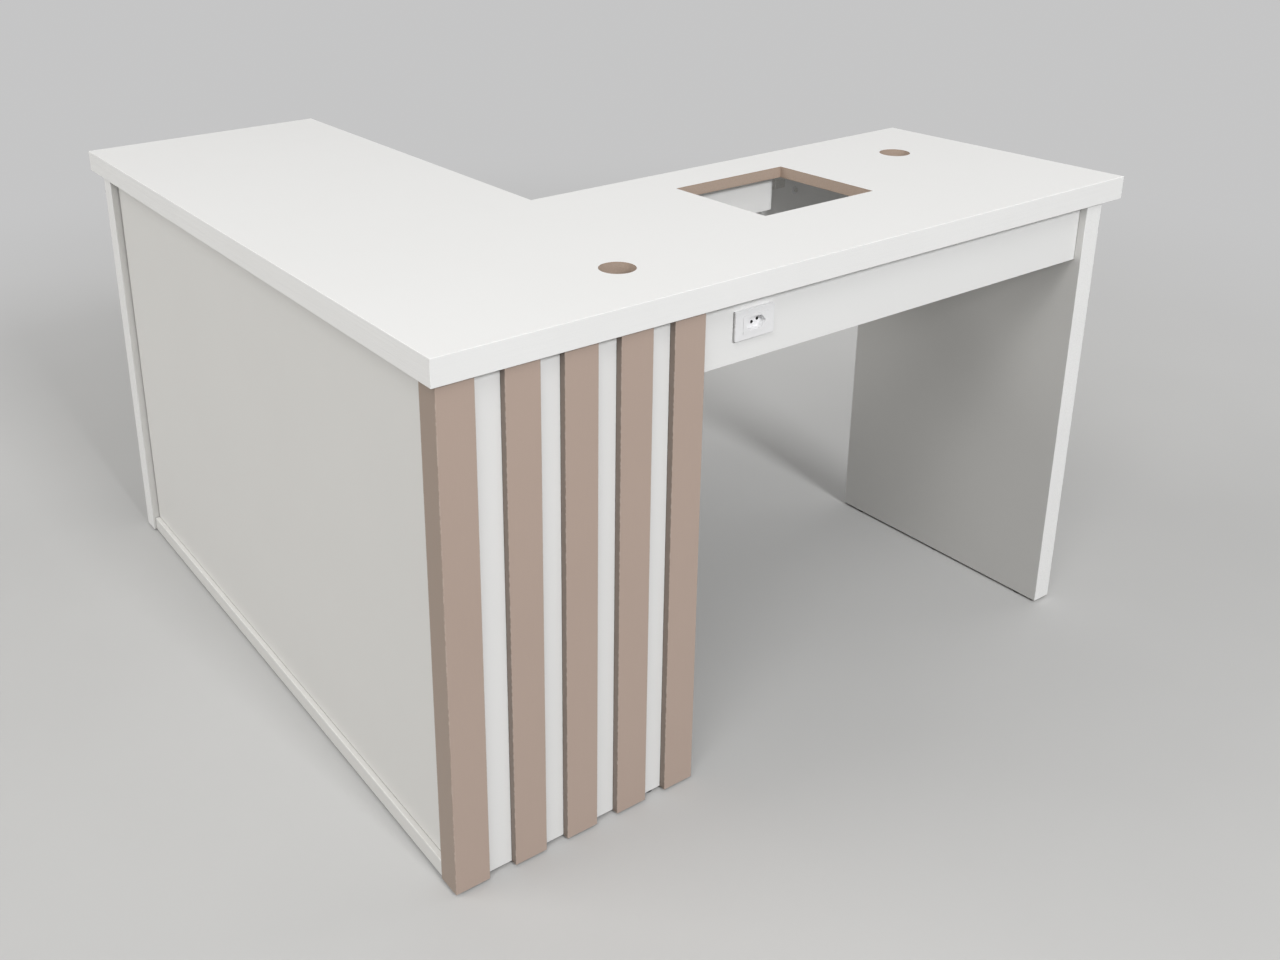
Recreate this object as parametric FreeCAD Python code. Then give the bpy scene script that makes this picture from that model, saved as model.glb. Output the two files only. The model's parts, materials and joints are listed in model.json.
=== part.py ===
import os

import FreeCAD
import Part

# L-shaped office desk: a front wing on a slab gable, a side wing with a slatted end,
# one L-shaped top with a rectangular cut-out, two cable holes and a socket in the apron.
# Built from the near corner of the top, +X along the front wing, +Y along the side wing.
# Millimetres. The finished parts are moved so that the origin is under the middle.

# Worktop
top_length = 1260.0
top_width = 1240.0
front_wing_depth = 460.0
side_wing_width = 450.0
desk_height = 750.0
board = 18.0
edging = 1.0

# Build-up strips that thicken the edge of the top
strip_width = 80.0
right_strip_width = 110.0
far_strip_width = 140.0

# Rectangular cut-out and round cable holes
cutout_length = 225.0
cutout_depth = 196.0
cutout_rear_margin = 85.0
cutout_centre_share = 0.483
cable_hole_diameter = 50.0
cable_hole_support_gap = 7.0
cable_hole_strip_gap = 16.0
cable_hole_right_gap = 14.0
cable_hole_rear_margin = 110.0

# Gables: two leaves of board, standing back from the edges of the top
right_gable_inset = 40.0
right_gable_front_inset = 6.0
right_gable_rear_inset = 20.0
far_gable_inset = 60.0
far_gable_side_inset = 5.0

# Slatted end of the side wing
post_inset = 8.0
slat_front_inset = 6.0
post_width = 52.0
post_depth = 36.0
first_slat_gap = 40.0
slat_gap = 34.0
slat_width = 50.0
slat_thickness = 10.0
slat_count = 4
slat_edge_radius = 1.0

# Long outer side of the side wing
base_rail_inset = 10.0
base_rail_height = 24.0
base_rail_ledge = 8.0
base_rail_edge_radius = 1.5
panel_reveal = 1.5

# Rails under the front wing
apron_height = 90.0
apron_setback = 12.0
rear_rail_height = 90.0
batten_height = 61.0
batten_setback = 21.0
batten_overhang = 4.0

# Glides nailed into the lower edges
glide_height = 4.0
glide_radius = 8.0
glide_nail_radius = 1.5
glide_nail_length = 12.0
gable_glide_shares = (0.09, 0.5, 0.91)
backing_glide_shares = (0.15, 0.53, 0.85)
base_rail_glide_shares = (0.22, 0.5, 0.78)
support_glide_shares = (0.15, 0.9)

# Dowels
dowel_radius = 4.0
dowel_face_depth = 12.0
dowel_end_depth = 18.0
drill_clearance = 0.15
rail_dowel_shares = (0.18, 0.82)
post_dowel_shares = (0.15, 0.4, 0.65, 0.93)
panel_dowel_shares = (0.2, 0.75)
base_dowel_shares = (0.1, 0.35, 0.65, 0.9)
gable_dowel_shares = (0.15, 0.85)

# Cam fittings
cam_radius = 7.5
cam_depth = 12.5
cam_distance = 24.0
cam_bolt_radius = 3.5
cam_thread_radius = 2.5
cam_thread_length = 11.0
cam_slot_radius = 3.8
cam_slot_width = 2.0
cam_slot_depth = 1.5
rail_cam_share = 0.5
panel_cam_shares = (0.1, 0.5, 0.88)

# Angle brackets between the panels and the top
bracket_leg = 36.0
bracket_width = 54.0
bracket_gauge = 2.0
bracket_hole_radius = 2.5
bracket_hole_spacing = 28.0
bracket_hole_height = 12.0
rib_radius = 1.6
rib_offset = 9.0
apron_bracket_share = 0.8
socket_bracket_gap = 4.4
rear_bracket_share = 0.2
gable_bracket_shares = (0.35, 0.65)
far_bracket_shares = (0.35, 0.7)
modesty_bracket_shares = (0.25, 0.5, 0.75)
backing_bracket_shares = (0.26, 0.64)

# Screws
screw_head_radius = 4.0
screw_head_height = 2.2
screw_shank_radius = 2.0
bracket_screw_length = 14.0
slat_screw_length = 25.0
batten_screw_length = 68.0
countersink_depth = 2.0
screw_slot_length = 4.4
screw_slot_width = 1.0
screw_slot_depth = 1.0
slat_screw_shares = (0.12, 0.5, 0.88)
batten_screw_shares = (0.1, 0.5, 0.9)
stop_screw_offset = 27.0
stop_screw_drop = 28.0
stop_screw_length = 12.0
stop_collar_radius = 6.5
stop_collar_height = 1.6

# Socket in the apron
socket_offset = 91.0
socket_drop = 38.0
module_offset = 1.0
bezel_width = 68.0
bezel_height = 41.0
bezel_thickness = 5.0
bezel_corner_radius = 1.8
bezel_edge_radius = 0.6
pry_notch_height = 4.0
pry_notch_length = 2.2
pry_notch_depth = 1.2
collar_width = 60.0
collar_height = 33.0
collar_wall = 1.5
collar_depth = 26.0
window_clearance = 0.5
insert_width = 43.0
insert_height = 25.0
insert_proud = 0.4
insert_clearance = 0.2
insert_depth = 21.0
insert_corner_radius = 1.5
flange_margin = 3.5
flange_thickness = 2.5
recess_width = 37.0
recess_height = 18.0
recess_depth = 8.2
recess_flat_share = 0.52
recess_corner_radius = 3.5
pin_spacing = 9.5
pin_line_rise = 1.3
earth_drop = 3.0
pin_hole_radius = 2.2
pin_hole_length = 2.5
sleeve_radius = 3.0
sleeve_fit = 0.1
terminal_radius = 2.2
terminal_length = 4.0
clip_length = 8.0
clip_height = 12.0
clip_reach = 4.0
cap_thickness = 2.0
cap_screw_radius = 1.5
cap_screw_head_radius = 2.6
cap_screw_head_height = 1.4
cap_screw_length = 7.0
cap_boss_radius = 2.6
cap_boss_inset = 1.8
cap_screw_fit = 0.1
grommet_radius = 6.0
grommet_bore_radius = 3.2
grommet_lip = 1.2
grommet_lip_height = 1.5
grommet_fit = 0.1

# One overrun for every cut
overrun = 1.0

# Levels and faces that the pieces share
underside = desk_height - board
strip_underside = underside - board
foot = glide_height
panel_height = strip_underside - foot

strip_near = edging + strip_width
inner_strip_left = side_wing_width - edging - strip_width
right_strip_left = top_length - edging - right_strip_width
far_strip_front = top_width - edging - far_strip_width

slat_front = slat_front_inset
backing_front = slat_front + slat_thickness
backing_back = backing_front + board
post_right = post_inset + post_width
post_back = slat_front + post_depth
slat_pitch = slat_width + slat_gap
first_slat_left = post_right + first_slat_gap
slatted_right = first_slat_left + slat_count * slat_width + (slat_count - 1) * slat_gap

support_left = slatted_right - board
support_back = front_wing_depth - right_gable_rear_inset
right_gable_right = top_length - right_gable_inset
right_gable_left = right_gable_right - 2 * board
right_gable_front = right_gable_front_inset
right_gable_back = front_wing_depth - right_gable_rear_inset
far_gable_back = top_width - far_gable_inset
far_gable_front = far_gable_back - 2 * board
far_gable_left = far_gable_side_inset
far_gable_right = side_wing_width - far_gable_side_inset

apron_front = right_gable_front + apron_setback
apron_back = apron_front + board
rear_rail_back = right_gable_back
rear_rail_front = rear_rail_back - board
rear_strip_front = rear_rail_front
bay_length = right_gable_left - slatted_right

base_rail_back = base_rail_inset + base_rail_ledge + board
base_rail_top = foot + base_rail_height
modesty_left = base_rail_inset + base_rail_ledge
modesty_right = modesty_left + board
modesty_top = strip_underside
modesty_far = far_gable_front - panel_reveal

cutout_middle = slatted_right + cutout_centre_share * bay_length
cutout_left = cutout_middle - cutout_length / 2
cutout_right = cutout_middle + cutout_length / 2
cutout_rear = front_wing_depth - cutout_rear_margin
cutout_front = cutout_rear - cutout_depth
cable_hole_radius = cable_hole_diameter / 2
left_hole_x = support_left - cable_hole_support_gap - cable_hole_radius
left_hole_y = strip_near + cable_hole_strip_gap + cable_hole_radius
right_hole_x = right_strip_left - cable_hole_right_gap - cable_hole_radius
right_hole_y = front_wing_depth - cable_hole_rear_margin - cable_hole_radius

batten_front = cutout_rear + batten_setback
batten_back = batten_front + board
batten_left = cutout_left
batten_right = cutout_right + batten_overhang
batten_bottom = underside - batten_height

socket_x = slatted_right + socket_offset
socket_z = strip_underside - socket_drop
module_x = socket_x + module_offset
bezel_front = apron_front - bezel_thickness

x_way = FreeCAD.Vector(1, 0, 0)
y_way = FreeCAD.Vector(0, 1, 0)
z_way = FreeCAD.Vector(0, 0, 1)

# Each node's solids, and the holes to be cut in them
solids = {}
holes = {}


def point(x, y, z):
    return FreeCAD.Vector(x, y, z)


def block(x0, y0, z0, x1, y1, z1):
    return Part.makeBox(x1 - x0, y1 - y0, z1 - z0, point(x0, y0, z0))


def rod(radius, length, start, way):
    return Part.makeCylinder(radius, length, start, way)


def add(node, shape):
    solids.setdefault(node, []).append(shape)


def drill(node, shape):
    holes.setdefault(node, []).append(shape)


def rounded(shape, radius, wanted):
    edges = [edge for edge in shape.Edges if wanted(edge)]
    return shape.makeFillet(radius, edges)


def prism(points, height):
    wire = Part.makePolygon(points + points[:1])
    return Part.Face(wire).extrude(z_way * height)


def slab(x0, y0, x1, y1, z0, height):
    return block(x0, y0, z0, x1, y1, z0 + height)


# Worktop: the L board, the strips glued under its edge and the edging round both
def worktop():
    left = edging
    near = edging
    right = top_length - edging
    rear = front_wing_depth - edging
    inner = side_wing_width - edging
    far = top_width - edging
    outline = [
        point(left, near, underside),
        point(right, near, underside),
        point(right, rear, underside),
        point(inner, rear, underside),
        point(inner, far, underside),
        point(left, far, underside),
    ]
    add("worktop_board", prism(outline, board))
    low = underside - overrun
    high = desk_height + overrun
    drill("worktop_board", block(cutout_left, cutout_front, low, cutout_right, cutout_rear, high))
    for x, y in ((left_hole_x, left_hole_y), (right_hole_x, right_hole_y)):
        drill("worktop_board", rod(cable_hole_radius, high - low, point(x, y, low), z_way))

    strips = {
        "buildup_front": (left, near, right, strip_near),
        "buildup_right": (right_strip_left, strip_near, right, rear),
        "buildup_rear": (inner, rear_strip_front, right_strip_left, rear),
        "buildup_inner": (inner_strip_left, rear_strip_front, inner, far_strip_front),
        "buildup_far": (left, far_strip_front, inner, far),
        "buildup_left": (left, strip_near, strip_near, far_strip_front),
    }
    for node, (x0, y0, x1, y1) in strips.items():
        add(node, slab(x0, y0, x1, y1, strip_underside, board))

    bands = {
        "edging_front": (0, 0, top_length, near),
        "edging_right": (right, near, top_length, front_wing_depth),
        "edging_rear": (inner, rear, right, front_wing_depth),
        "edging_inner": (inner, front_wing_depth, side_wing_width, far),
        "edging_far": (left, far, side_wing_width, top_width),
        "edging_left": (0, near, left, top_width),
    }
    for node, (x0, y0, x1, y1) in bands.items():
        add(node, slab(x0, y0, x1, y1, strip_underside, 2 * board))


# Right gable: two leaves side by side with edging on the front and rear edges
def right_gable():
    x0 = right_gable_left
    x1 = x0 + board
    x2 = right_gable_right
    y0 = right_gable_front + edging
    y1 = right_gable_back - edging
    add("right_gable_inner_leaf", slab(x0, y0, x1, y1, foot, panel_height))
    add("right_gable_outer_leaf", slab(x1, y0, x2, y1, foot, panel_height))
    add("right_gable_edging", slab(x0, right_gable_front, x2, y0, foot, panel_height))
    add("right_gable_edging", slab(x0, y1, x2, right_gable_back, foot, panel_height))


# Far gable at the end of the side wing, built the same way
def far_gable():
    y0 = far_gable_front
    y1 = y0 + board
    y2 = far_gable_back
    x0 = far_gable_left + edging
    x1 = far_gable_right - edging
    add("far_gable_inner_leaf", slab(x0, y0, x1, y1, foot, panel_height))
    add("far_gable_outer_leaf", slab(x0, y1, x1, y2, foot, panel_height))
    add("far_gable_edging", slab(far_gable_left, y0, x0, y2, foot, panel_height))
    add("far_gable_edging", slab(x1, y0, far_gable_right, y2, foot, panel_height))


def upright_front(edge):
    start, end = edge.Vertexes[0].Point, edge.Vertexes[-1].Point
    level = abs(start.x - end.x) + abs(start.y - end.y)
    return level == 0 and start.y == slat_front


# Slatted end: a corner post, a white backing and the slats on its face
def slatted_end():
    post = slab(post_inset, slat_front, post_right, post_back, foot, panel_height)
    add("corner_post", rounded(post, slat_edge_radius, upright_front))
    add("slat_backing", slab(post_right, backing_front, slatted_right, backing_back, foot, panel_height))
    for index in range(slat_count):
        left = first_slat_left + index * slat_pitch
        slat = slab(left, slat_front, left + slat_width, backing_front, foot, panel_height)
        node = "slat_%d" % (index + 2)
        add(node, rounded(slat, slat_edge_radius, upright_front))
        for share in slat_screw_shares:
            start = point(left + slat_width / 2, backing_back, foot + share * panel_height)
            flat_screw("slat_screws", start, -y_way, slat_screw_length, ("slat_backing", node))


# Long outer side of the side wing: a low base rail with the panel standing on it
def outer_side():
    rail = block(base_rail_inset, post_back, foot, base_rail_back, far_gable_front, base_rail_top)

    def upper_front(edge):
        start, end = edge.Vertexes[0].Point, edge.Vertexes[-1].Point
        on_front = start.x == base_rail_inset and end.x == base_rail_inset
        return on_front and start.z == base_rail_top and end.z == base_rail_top

    add("base_rail", rounded(rail, base_rail_edge_radius, upper_front))
    panel = block(modesty_left, post_back, base_rail_top, modesty_right, modesty_far, modesty_top)
    add("modesty_panel", panel)


# Support panel, apron, rear rail and the short batten behind the cut-out
def front_wing_frame():
    add("inner_support_panel", slab(support_left, backing_back, slatted_right, support_back, foot, panel_height))
    apron_bottom = strip_underside - apron_height
    add("apron", block(slatted_right, apron_front, apron_bottom, right_gable_left, apron_back, strip_underside))
    window_x = collar_width / 2 + window_clearance
    window_z = collar_height / 2 + window_clearance
    window = block(socket_x - window_x, apron_front - overrun, socket_z - window_z,
                   socket_x + window_x, apron_back + overrun, socket_z + window_z)
    drill("apron", window)
    rail_bottom = strip_underside - rear_rail_height
    add("rear_rail", block(slatted_right, rear_rail_front, rail_bottom,
                           right_gable_left, rear_rail_back, strip_underside))
    add("cutout_batten", block(batten_left, batten_front, batten_bottom,
                               batten_right, batten_back, underside))
    for share in batten_screw_shares:
        x = batten_left + share * (batten_right - batten_left)
        start = point(x, (batten_front + batten_back) / 2, batten_bottom)
        flat_screw("batten_screws", start, z_way, batten_screw_length, ("cutout_batten", "worktop_board"))


# A dowel across a joint, and its hole in the two pieces
def dowel(joint, way, nodes):
    start = joint - way * dowel_face_depth
    length = dowel_face_depth + dowel_end_depth
    add("dowels", rod(dowel_radius, length, start, way))
    for node in nodes:
        drill(node, rod(dowel_radius + drill_clearance, length, start, way))


# A cam fitting: a bolt from one piece's face into a housing let into the other's side
def cam(joint, way, side, thickness, nodes):
    face_node, end_node = nodes
    thread_start = joint - way * cam_thread_length
    thread = rod(cam_thread_radius, cam_thread_length, thread_start, way)
    shaft = rod(cam_bolt_radius, cam_distance - cam_radius / 2, joint, way)
    add("cam_bolts", thread.fuse(shaft).removeSplitter())
    drill(face_node, rod(cam_thread_radius + drill_clearance, cam_thread_length, thread_start, way))
    drill(end_node, rod(cam_bolt_radius + drill_clearance, cam_distance, joint, way))

    mouth = joint + way * cam_distance + side * (thickness / 2)
    housing = rod(cam_radius, cam_depth, mouth, -side)
    throat = rod(cam_slot_radius, cam_distance, joint, way)
    slot_way = side.cross(way)
    slot = Part.makeBox(cam_slot_width, 2 * cam_radius, cam_slot_depth)
    slot.translate(point(-cam_slot_width / 2, -cam_radius, -cam_slot_depth))
    turn = FreeCAD.Rotation(way, slot_way, side, "ZXY")
    slot.Placement = FreeCAD.Placement(mouth, turn).multiply(slot.Placement)
    add("cam_housings", housing.cut(throat).cut(slot))
    drill(end_node, rod(cam_radius + drill_clearance, cam_depth, mouth, -side))


# A countersunk screw with its slotted head flush in the first piece
def flat_screw(group, start, way, length, nodes):
    head = Part.makeCone(screw_head_radius, screw_shank_radius, countersink_depth, start, way)
    shank = rod(screw_shank_radius, length, start, way)
    body = head.fuse(shank).removeSplitter()
    add(group, body)
    wide = screw_head_radius + drill_clearance
    narrow = screw_shank_radius + drill_clearance
    sink = Part.makeCone(wide, narrow, countersink_depth, start, way)
    bore = rod(narrow, length, start, way)
    for node in nodes:
        drill(node, sink.fuse(bore))


# One pan-head screw drawn along +Z with its head below zero, and its crossed driver slots
def pan_screw_shape(length):
    shank = rod(screw_shank_radius, length, point(0, 0, 0), z_way)
    head = rod(screw_head_radius, screw_head_height, point(0, 0, 0), -z_way)
    rim = [edge for edge in head.Edges if edge.CenterOfMass.z < -screw_head_height / 2]
    head = head.makeFillet(screw_head_height / 2, rim[:1])
    screw = head.fuse(shank).removeSplitter()
    wide = screw_slot_length / 2
    thin = screw_slot_width / 2
    for x, y in ((wide, thin), (thin, wide)):
        low = -screw_head_height - overrun
        screw = screw.cut(block(-x, -y, low, x, y, screw_slot_depth - screw_head_height))
    return screw


# A pan-head screw standing on a surface
def pan_screw(group, seat, way, length, nodes):
    screw = pan_screw_shape(length)
    screw.Placement = FreeCAD.Placement(seat, FreeCAD.Rotation(z_way, way))
    add(group, screw)
    for node in nodes:
        drill(node, rod(screw_shank_radius + drill_clearance, length, seat, way))


# An angle bracket under the top against a panel's face, turned about the vertical
def bracket(corner, degrees, panel_node, strip_node):
    half = bracket_width / 2
    upright = block(-half, 0, -bracket_leg, half, bracket_gauge, 0)
    flat = block(-half, 0, -bracket_gauge, half, bracket_leg, 0)
    angle = upright.fuse(flat).removeSplitter()
    for x in (-rib_offset / 2, rib_offset / 2):
        rib = rod(rib_radius, bracket_leg - bracket_gauge, point(x, bracket_gauge, -bracket_leg), z_way)
        angle = angle.fuse(rib)
    turn = FreeCAD.Rotation(z_way, degrees)
    panel_way = turn.multVec(-y_way)
    for x in (-bracket_hole_spacing / 2, bracket_hole_spacing / 2):
        for seat_at, way in ((point(x, bracket_gauge, -bracket_hole_height), -y_way),
                             (point(x, bracket_hole_height, -bracket_gauge), z_way)):
            start = seat_at - way * overrun
            reach = bracket_gauge + 2 * overrun
            angle = angle.cut(rod(bracket_hole_radius, reach, start, way))
    angle = angle.removeSplitter()
    angle.rotate(point(0, 0, 0), z_way, degrees)
    angle.translate(corner)
    add("angle_brackets", angle)
    for x in (-bracket_hole_spacing / 2, bracket_hole_spacing / 2):
        wall_seat = corner + turn.multVec(point(x, bracket_gauge, -bracket_hole_height))
        pan_screw("bracket_screws", wall_seat, panel_way, bracket_screw_length, (panel_node,))
        top_seat = corner + turn.multVec(point(x, bracket_hole_height, -bracket_gauge))
        pan_screw("bracket_screws", top_seat, z_way, bracket_screw_length, (strip_node,))


def along(start, end, share):
    return start + share * (end - start)


def rail_joints():
    for node, middle, height, left_node in (
            ("apron", (apron_front + backing_back) / 2, apron_height, "slat_backing"),
            ("rear_rail", (rear_rail_front + rear_rail_back) / 2, rear_rail_height, "inner_support_panel")):
        bottom = strip_underside - height
        for share in rail_dowel_shares:
            z = bottom + share * height
            dowel(point(slatted_right, middle, z), x_way, (left_node, node))
            dowel(point(right_gable_left, middle, z), -x_way, ("right_gable_inner_leaf", node))
    for node, front, height, left_node, side in (
            ("apron", apron_front, apron_height, "slat_backing", y_way),
            ("rear_rail", rear_rail_front, rear_rail_height, "inner_support_panel", -y_way)):
        z = strip_underside - (1 - rail_cam_share) * height
        middle = front + board / 2
        cam(point(slatted_right, middle, z), x_way, side, board, (left_node, node))
        cam(point(right_gable_left, middle, z), -x_way, side, board, ("right_gable_inner_leaf", node))


def panel_joints():
    backing_middle = (backing_front + backing_back) / 2
    support_middle = support_left + board / 2
    modesty_middle = (modesty_left + modesty_right) / 2
    for share in post_dowel_shares:
        z = foot + share * panel_height
        dowel(point(post_right, backing_middle, z), x_way, ("corner_post", "slat_backing"))
        dowel(point(modesty_middle, post_back, z), y_way, ("corner_post", "modesty_panel"))
    for share in panel_dowel_shares:
        z = foot + share * panel_height
        dowel(point(support_middle, backing_back, z), y_way, ("slat_backing", "inner_support_panel"))
        dowel(point(modesty_middle, far_gable_front, z), -y_way, ("far_gable_inner_leaf", "modesty_panel"))
    for share in panel_cam_shares:
        z = foot + share * panel_height
        cam(point(support_middle, backing_back, z), y_way, -x_way, board, ("slat_backing", "inner_support_panel"))
        cam(point(modesty_middle, far_gable_front, z), -y_way, x_way, board,
            ("far_gable_inner_leaf", "modesty_panel"))
    rail_middle_x = (base_rail_inset + base_rail_back) / 2
    rail_middle_z = (foot + base_rail_top) / 2
    dowel(point(rail_middle_x, post_back, rail_middle_z), y_way, ("corner_post", "base_rail"))
    dowel(point(rail_middle_x, far_gable_front, rail_middle_z), -y_way, ("far_gable_inner_leaf", "base_rail"))
    for share in base_dowel_shares:
        y = along(post_back, modesty_far, share)
        dowel(point(modesty_middle, y, base_rail_top), z_way, ("base_rail", "modesty_panel"))


def top_joints():
    gable_x = right_gable_left + board / 2
    gable_y = far_gable_front + board / 2
    for share in gable_dowel_shares:
        y = along(right_gable_front, right_gable_back, share)
        strip = "buildup_front" if y < strip_near else "buildup_right"
        dowel(point(gable_x, y, strip_underside), -z_way, (strip, "right_gable_inner_leaf"))
        x = along(far_gable_left, far_gable_right, share)
        dowel(point(x, gable_y, strip_underside), -z_way, ("buildup_far", "far_gable_inner_leaf"))
    beside_socket = socket_x + bezel_width / 2 + socket_bracket_gap + bracket_width / 2
    for x in (beside_socket, along(slatted_right, right_gable_left, apron_bracket_share)):
        bracket(point(x, apron_back, strip_underside), 0, "apron", "buildup_front")
    rear_place = along(slatted_right, right_gable_left, rear_bracket_share)
    for x in (rear_place, batten_right + bracket_width / 2):
        bracket(point(x, rear_rail_front, underside), 180, "buildup_rear", "worktop_board")
    for share in gable_bracket_shares:
        y = along(right_gable_front, right_gable_back, share)
        bracket(point(right_gable_left, y, strip_underside), 90, "right_gable_inner_leaf", "buildup_right")
    for share in far_bracket_shares:
        x = along(far_gable_left, far_gable_right, share)
        bracket(point(x, far_gable_front, strip_underside), 180, "far_gable_inner_leaf", "buildup_far")
    for share in modesty_bracket_shares:
        y = along(post_back, modesty_far, share)
        bracket(point(modesty_right, y, strip_underside), -90, "modesty_panel", "buildup_left")
    for share in backing_bracket_shares:
        x = along(post_right, support_left, share)
        bracket(point(x, backing_back, strip_underside), 0, "slat_backing", "buildup_front")


# Stop screw in a plastic collar on the rear rail, seen through the cut-out
def stop_screw():
    x = batten_right + bracket_width + stop_screw_offset
    seat = point(x, rear_rail_front, strip_underside - stop_screw_drop)
    collar = rod(stop_collar_radius, stop_collar_height, seat, -y_way)
    collar = collar.cut(rod(screw_shank_radius + drill_clearance, stop_collar_height, seat, -y_way))
    add("stop_screw_collar", collar)
    head_seat = seat - y_way * stop_collar_height
    pan_screw("stop_screw", head_seat, y_way, stop_screw_length, ("rear_rail",))


def glide(x, y, node):
    foot_disc = rod(glide_radius, glide_height, point(x, y, 0), z_way)
    nail = rod(glide_nail_radius, glide_nail_length, point(x, y, glide_height), z_way)
    add("glides", foot_disc.fuse(nail).removeSplitter())
    drill(node, rod(glide_nail_radius + drill_clearance, glide_nail_length, point(x, y, glide_height), z_way))


def glides():
    for share in gable_glide_shares:
        y = along(right_gable_front, right_gable_back, share)
        glide(right_gable_left + board / 2, y, "right_gable_inner_leaf")
        x = along(far_gable_left, far_gable_right, share)
        glide(x, far_gable_front + board / 2, "far_gable_inner_leaf")
    for share in backing_glide_shares:
        x = along(post_right, support_left, share)
        glide(x, (backing_front + backing_back) / 2, "slat_backing")
    for share in base_rail_glide_shares:
        y = along(post_back, far_gable_front, share)
        glide((base_rail_inset + base_rail_back) / 2, y, "base_rail")
    for share in support_glide_shares:
        y = along(backing_back, support_back, share)
        glide(support_left + board / 2, y, "inner_support_panel")
    glide((post_inset + post_right) / 2, (slat_front + post_back) / 2, "corner_post")


# Outlines of the socket's pieces, drawn about a middle and pushed back from a face
def panel_block(middle, width, height, front, depth, corner):
    x0 = middle - width / 2
    z0 = socket_z - height / 2
    shape = block(x0, front, z0, x0 + width, front + depth, z0 + height)
    if corner > 0:
        sides = [edge for edge in shape.Edges if abs(edge.Vertexes[0].Y - edge.Vertexes[-1].Y) > depth / 2]
        shape = shape.makeFillet(corner, sides)
    return shape


def recess_shape(front, depth):
    reach = recess_width / 2
    flat = reach * recess_flat_share
    rise = recess_height / 2
    corners = [(-reach, 0), (-flat, -rise), (flat, -rise), (reach, 0), (flat, rise), (-flat, rise)]
    points = [point(module_x + x, front, socket_z + z) for x, z in corners]
    wire = Part.makePolygon(points + points[:1])
    body = Part.Face(wire).extrude(y_way * depth)
    sides = [edge for edge in body.Edges if abs(edge.Vertexes[0].Y - edge.Vertexes[-1].Y) > depth / 2]
    return body.makeFillet(recess_corner_radius, sides)


def pin_places():
    line = socket_z + pin_line_rise
    return (
        (module_x - pin_spacing, line),
        (module_x, line - earth_drop),
        (module_x + pin_spacing, line),
    )


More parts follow.
